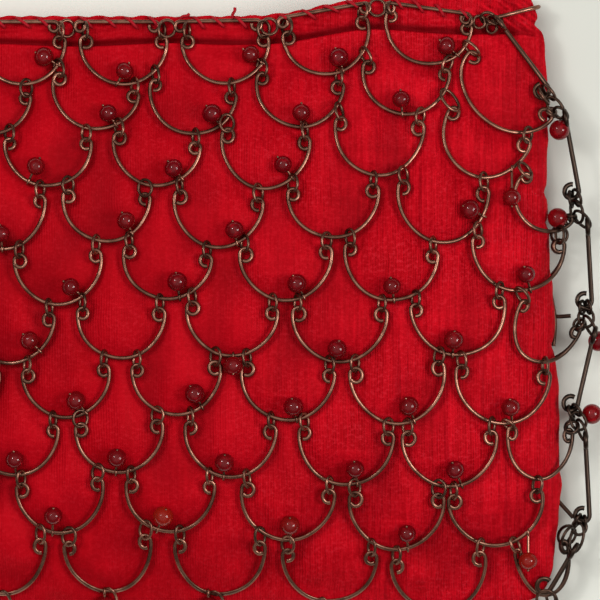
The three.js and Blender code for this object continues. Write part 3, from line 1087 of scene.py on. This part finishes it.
def wireDistance(points):  # how far each point of the plan lies from the nearest hoop wire
    angles = np.linspace(math.pi, 6.28, 50)
    bends = [(bag["hoopRadius"] * math.cos(a), bag["hoopDepth"] * math.sin(a)) for a in angles]
    curls = [(hand * (bag["hoopRadius"] - bag["scrollRadius"]), 0.5) for hand in (-1, 1)]
    samples = [onHoop(hoop, x, y) for hoop in hoops for x, y in bends + curls]
    samples += [end - (0, 3.0 * t) for hoop in hoops for end in hoop["ends"] for t in (0, 0.3, 0.6, 0.9)]
    tree = kdtree.KDTree(len(samples))
    for n, sample in enumerate(samples):
        tree.insert((sample[0], sample[1], 0), n)
    tree.balance()
    return np.array([tree.find((x, y, 0))[2] for x, y in points])


def wrinkles(points, sizes, seed):
    shift = Vector((seed * 17.3, seed * 5.1, seed * 9.7))
    values = [noise.noise(Vector(point * sizes) + shift) for point in points.reshape(-1, 3)]
    return np.array(values).reshape(points.shape[:-1])


def pouchMoves(outer, weight, down):  # how far the cloth leaves its plain shape, and its shade
    x, y = outer[..., 0], outer[..., 1]
    distance = wireDistance(outer[..., :2].reshape(-1, 2)).reshape(weight.shape)
    soft = wrinkles(outer, (0.045, 0.03, 0.04), 1)
    fold = wrinkles(outer, (0.13, 0.06, 0.1), 2)
    fine = wrinkles(outer, (0.5, 0.2, 0.3), 3)
    onTop = np.clip(weight * 1.8, 0, 1)
    lift = pouchShape["puff"] * (1 - np.exp(-((distance / 5.5) ** 2))) - 0.45
    lift = lift - pouchShape["press"] * np.exp(-((distance / pouchShape["reach"]) ** 2))
    free = 1 - 0.7 * np.exp(-((distance / 4) ** 2))  # the wires hold the cloth down beside them
    seam = bag["hemWidth"] + 2.5 * smooth(16, 62, x) + 0.5 * soft + 0.25 * np.sin(x / 7)
    inBody = smooth(0.6, 5.0, down - seam) * smooth(141, 133, down) * onTop
    folds = pouchShape["soft"] * soft + pouchShape["fold"] * fold
    move = (lift + folds * free) * inBody + pouchShape["fine"] * fine * smooth(0, 4, down)
    band = smooth(-0.25, 0.2, seam - down)  # the hem, which slopes down to its fold
    dip = 0.3 - 0.8 * smooth(4.8, 0, seam - down) - 0.75 * smooth(1.6, 0, seam - down)
    step = pouchShape["step"] * np.exp(-np.maximum(down - seam, 0) / 2.4)
    move = move + (band * dip + (1 - band) * step) * onTop
    crease = wrinkles(outer, (0.12, 0.75, 0.3), 4) * band
    pleat = np.sin((0.6 * x + 0.8 * y) / 0.46 + 3 * soft) * smooth(57, 67, x) * smooth(13, 7, down)
    pucker = np.sin(2 * math.pi * (x - 0.7 * y) / bag["stitchStep"]) * smooth(4.5, 1.5, down)
    gathers = pouchShape["crease"] * crease + pouchShape["pleat"] * pleat + pouchShape["pucker"] * pucker
    move = move + gathers * onTop
    inside = seam - down
    # painted shade: dark in the hem's fold and a little over the hem band, in stripes across the corner
    # pleats, beside the wires and in fold hollows
    groove = pouchShape["groove"] * np.exp(-(((inside - 0.55) / 1.05) ** 2)) + 0.1 * smooth(0.5, 2.5, down)
    groove = band * groove - 0.25 * pleat
    valley = pouchShape["valley"] * np.exp(-((distance / 2.4) ** 2)) * inBody
    hollowShade = np.clip(-0.55 * fold - 0.35 * soft, 0, 0.4) * inBody
    return move, np.clip(groove + valley + hollowShade, 0, 0.9) * onTop


def pouchPiece():
    hemDowns = np.linspace(0, 12, 44)  # closest together at the hem
    bodyDowns = np.linspace(12.8, 134, 134)
    footDowns = np.linspace(134.5, bag["length"], 20)
    downs = np.concatenate((hemDowns, bodyDowns, footDowns))
    outer, weight, down = pouchRings(downs, 0)
    along = np.gradient(outer, axis=0)
    around = np.roll(outer, -1, axis=1) - np.roll(outer, 1, axis=1)
    normal = np.cross(around, along)
    normal = normal / np.maximum(np.linalg.norm(normal, axis=-1, keepdims=True), 1e-9)
    outward = outer - outer.mean(axis=1, keepdims=True)
    normal = normal * np.sign(np.sum(normal * outward, axis=-1, keepdims=True))
    plain = outer.copy()
    move, shade = pouchMoves(outer, weight, down)
    outer = outer + normal * move[..., None] * (1, 0.5, 1)
    x = plain[..., 0]
    scallop = np.abs(np.sin(math.pi * x / bag["stitchStep"])) + 0.4 * wrinkles(plain, (0.3, 0.3, 0), 6)
    outer[..., 1] += (pouchShape["scallop"] * scallop - 0.15) * smooth(2.5, 0, down)
    rim = np.clip(1 - weight * 3, 0, 1) * smooth(8, 14, down) * smooth(138, 130, down)
    along = plain * (0, 1, 0)
    wave = wrinkles(along, (0, 0.09, 0), 7) + 0.6 * wrinkles(along, (0, 0.25, 0), 8)
    outer[..., 0] += np.sign(x) * pouchShape["wave"] * wave * rim
    onRight = np.clip(1 - weight * 2.5, 0, 1) * (x > 0)
    for middle, reach, depth in edgeDips:
        outer[..., 0] -= depth * np.exp(-(((down - middle) / reach) ** 2)) * onRight
    liningDowns = np.linspace(133, 0, 20)
    padding = bag["wall"] + 1.7 * smooth(0.5, 6.5, liningDowns)[:, None]  # clear of the pressed cloth
    inner = pouchRings(liningDowns, padding)[0]
    grid = np.concatenate((outer, inner))
    count = grid.shape[1]
    ends = (len(downs) - 1, len(downs))
    faces = []
    for r in range(len(grid)):
        if r == ends[0]:
            continue
        below = 0 if r == len(grid) - 1 else r + 1
        first, second = r * count + np.arange(count), below * count + np.arange(count)
        faces += np.stack((first, np.roll(first, -1), np.roll(second, -1), second), axis=1).tolist()
    faces.append((ends[0] * count + np.arange(count)).tolist())
    faces.append((ends[1] * count + np.arange(count))[::-1].tolist())
    mesh = bpy.data.meshes.new("pouchSilk")
    mesh.from_pydata(toRow(grid.reshape(-1, 3)).tolist(), [], faces)
    mesh.polygons.foreach_set("use_smooth", [True] * len(mesh.polygons))
    mesh.materials.append(silk)
    shades = np.concatenate((shade.ravel(), np.zeros(inner.size // 3)))
    mesh.attributes.new("shade", "FLOAT", "POINT").data.foreach_set("value", shades)
    return plainObject("pouchSilk", mesh)


pouch = pouchPiece()
print("pouch made")

beadNodes = [name for name in frame["nodes"] if "bead" in name]
dress(pouch, "silk", "pouch")
dress(stitches, "silk", "pouch")
dress(beads, "bead", *beadNodes)
for piece in (frontHoops, frontJump, pins, heads):
    dress(piece, "wire", "front_net")
for piece in (backHoops, backJump, *ties):
    dress(piece, "wire", "back_net")
for piece in (rightChain, rightJump):
    dress(piece, "wire", "right_chain")
for piece in (leftChain, leftJump):
    dress(piece, "wire", "left_chain")
dress(frontRim, "wire", "front_rim")
dress(backRim, "wire", "back_rim")
dress(rightLink, "wire", "right_rim_link")
dress(leftLink, "wire", "left_rim_link")

floorMesh = bpy.data.meshes.new("paper")
floorMesh.from_pydata([(-2, -2, 0), (2, -2, 0), (2, 2, 0), (-2, 2, 0)], [], [(0, 1, 2, 3)])
floorMesh.materials.append(paper)
floor = plainObject("paper", floorMesh)

shot = {"x": 19.2, "y": -66.7, "width": 144.0, "plane": 12.0, "distance": 2500.0, "sensor": 36}
camera = bpy.data.objects.new("camera", bpy.data.cameras.new("camera"))
bpy.context.scene.collection.objects.link(camera)
camera.location = toRow((shot["x"], shot["y"], shot["plane"] + shot["distance"]))
camera.data.sensor_width = shot["sensor"]
camera.data.lens = shot["sensor"] * shot["distance"] / shot["width"]
camera.data.clip_end = 10
bpy.context.scene.camera = camera


lights = {  # place, width, power, and whether wire and glass mirror it
    "window": ((1600, -80, 1750), 1000, 27.0, True),
    "lamp": ((-480, 260, 900), 170, 2.1, True),
    "skylight": ((-500, 480, 1250), 1000, 8.8, False),
}
lightAim = (10, -66, 10)
roomLook = {"low": (0.12, 0.118, 0.11, 1), "high": (0.95, 0.95, 0.91, 1), "strength": 0.78}


def areaLight(name, place, size, power, mirrored):
    data = bpy.data.lights.new(name, "AREA")
    data.shape = "DISK"
    data.size = size * mm
    data.energy = power
    data.color = (1.0, 0.99, 0.97)
    made = bpy.data.objects.new(name, data)
    made.location = toRow(place)
    made.visible_glossy = mirrored
    way = Vector(np.subtract(lightAim, place))
    made.rotation_euler = way.to_track_quat("-Z", "Y").to_euler()
    bpy.context.scene.collection.objects.link(made)


for name, values in lights.items():
    areaLight(name, *values)
world = bpy.data.worlds.new("room")
bpy.context.scene.world = world
world.use_nodes = True
room = Graph(world.node_tree)
direction = room.add("ShaderNodeTexCoord")["Generated"]
upward = room.add("ShaderNodeSeparateXYZ", None, {"Vector": direction})["Z"]
glow = room.mix(room.between(0.4, 0.98, upward), roomLook["low"], roomLook["high"])
background = world.node_tree.nodes["Background"]
room.feed(background.inputs["Color"], glow)
background.inputs["Strength"].default_value = roomLook["strength"]
bpy.context.scene.view_settings.view_transform = "Standard"
print("camera and light set")
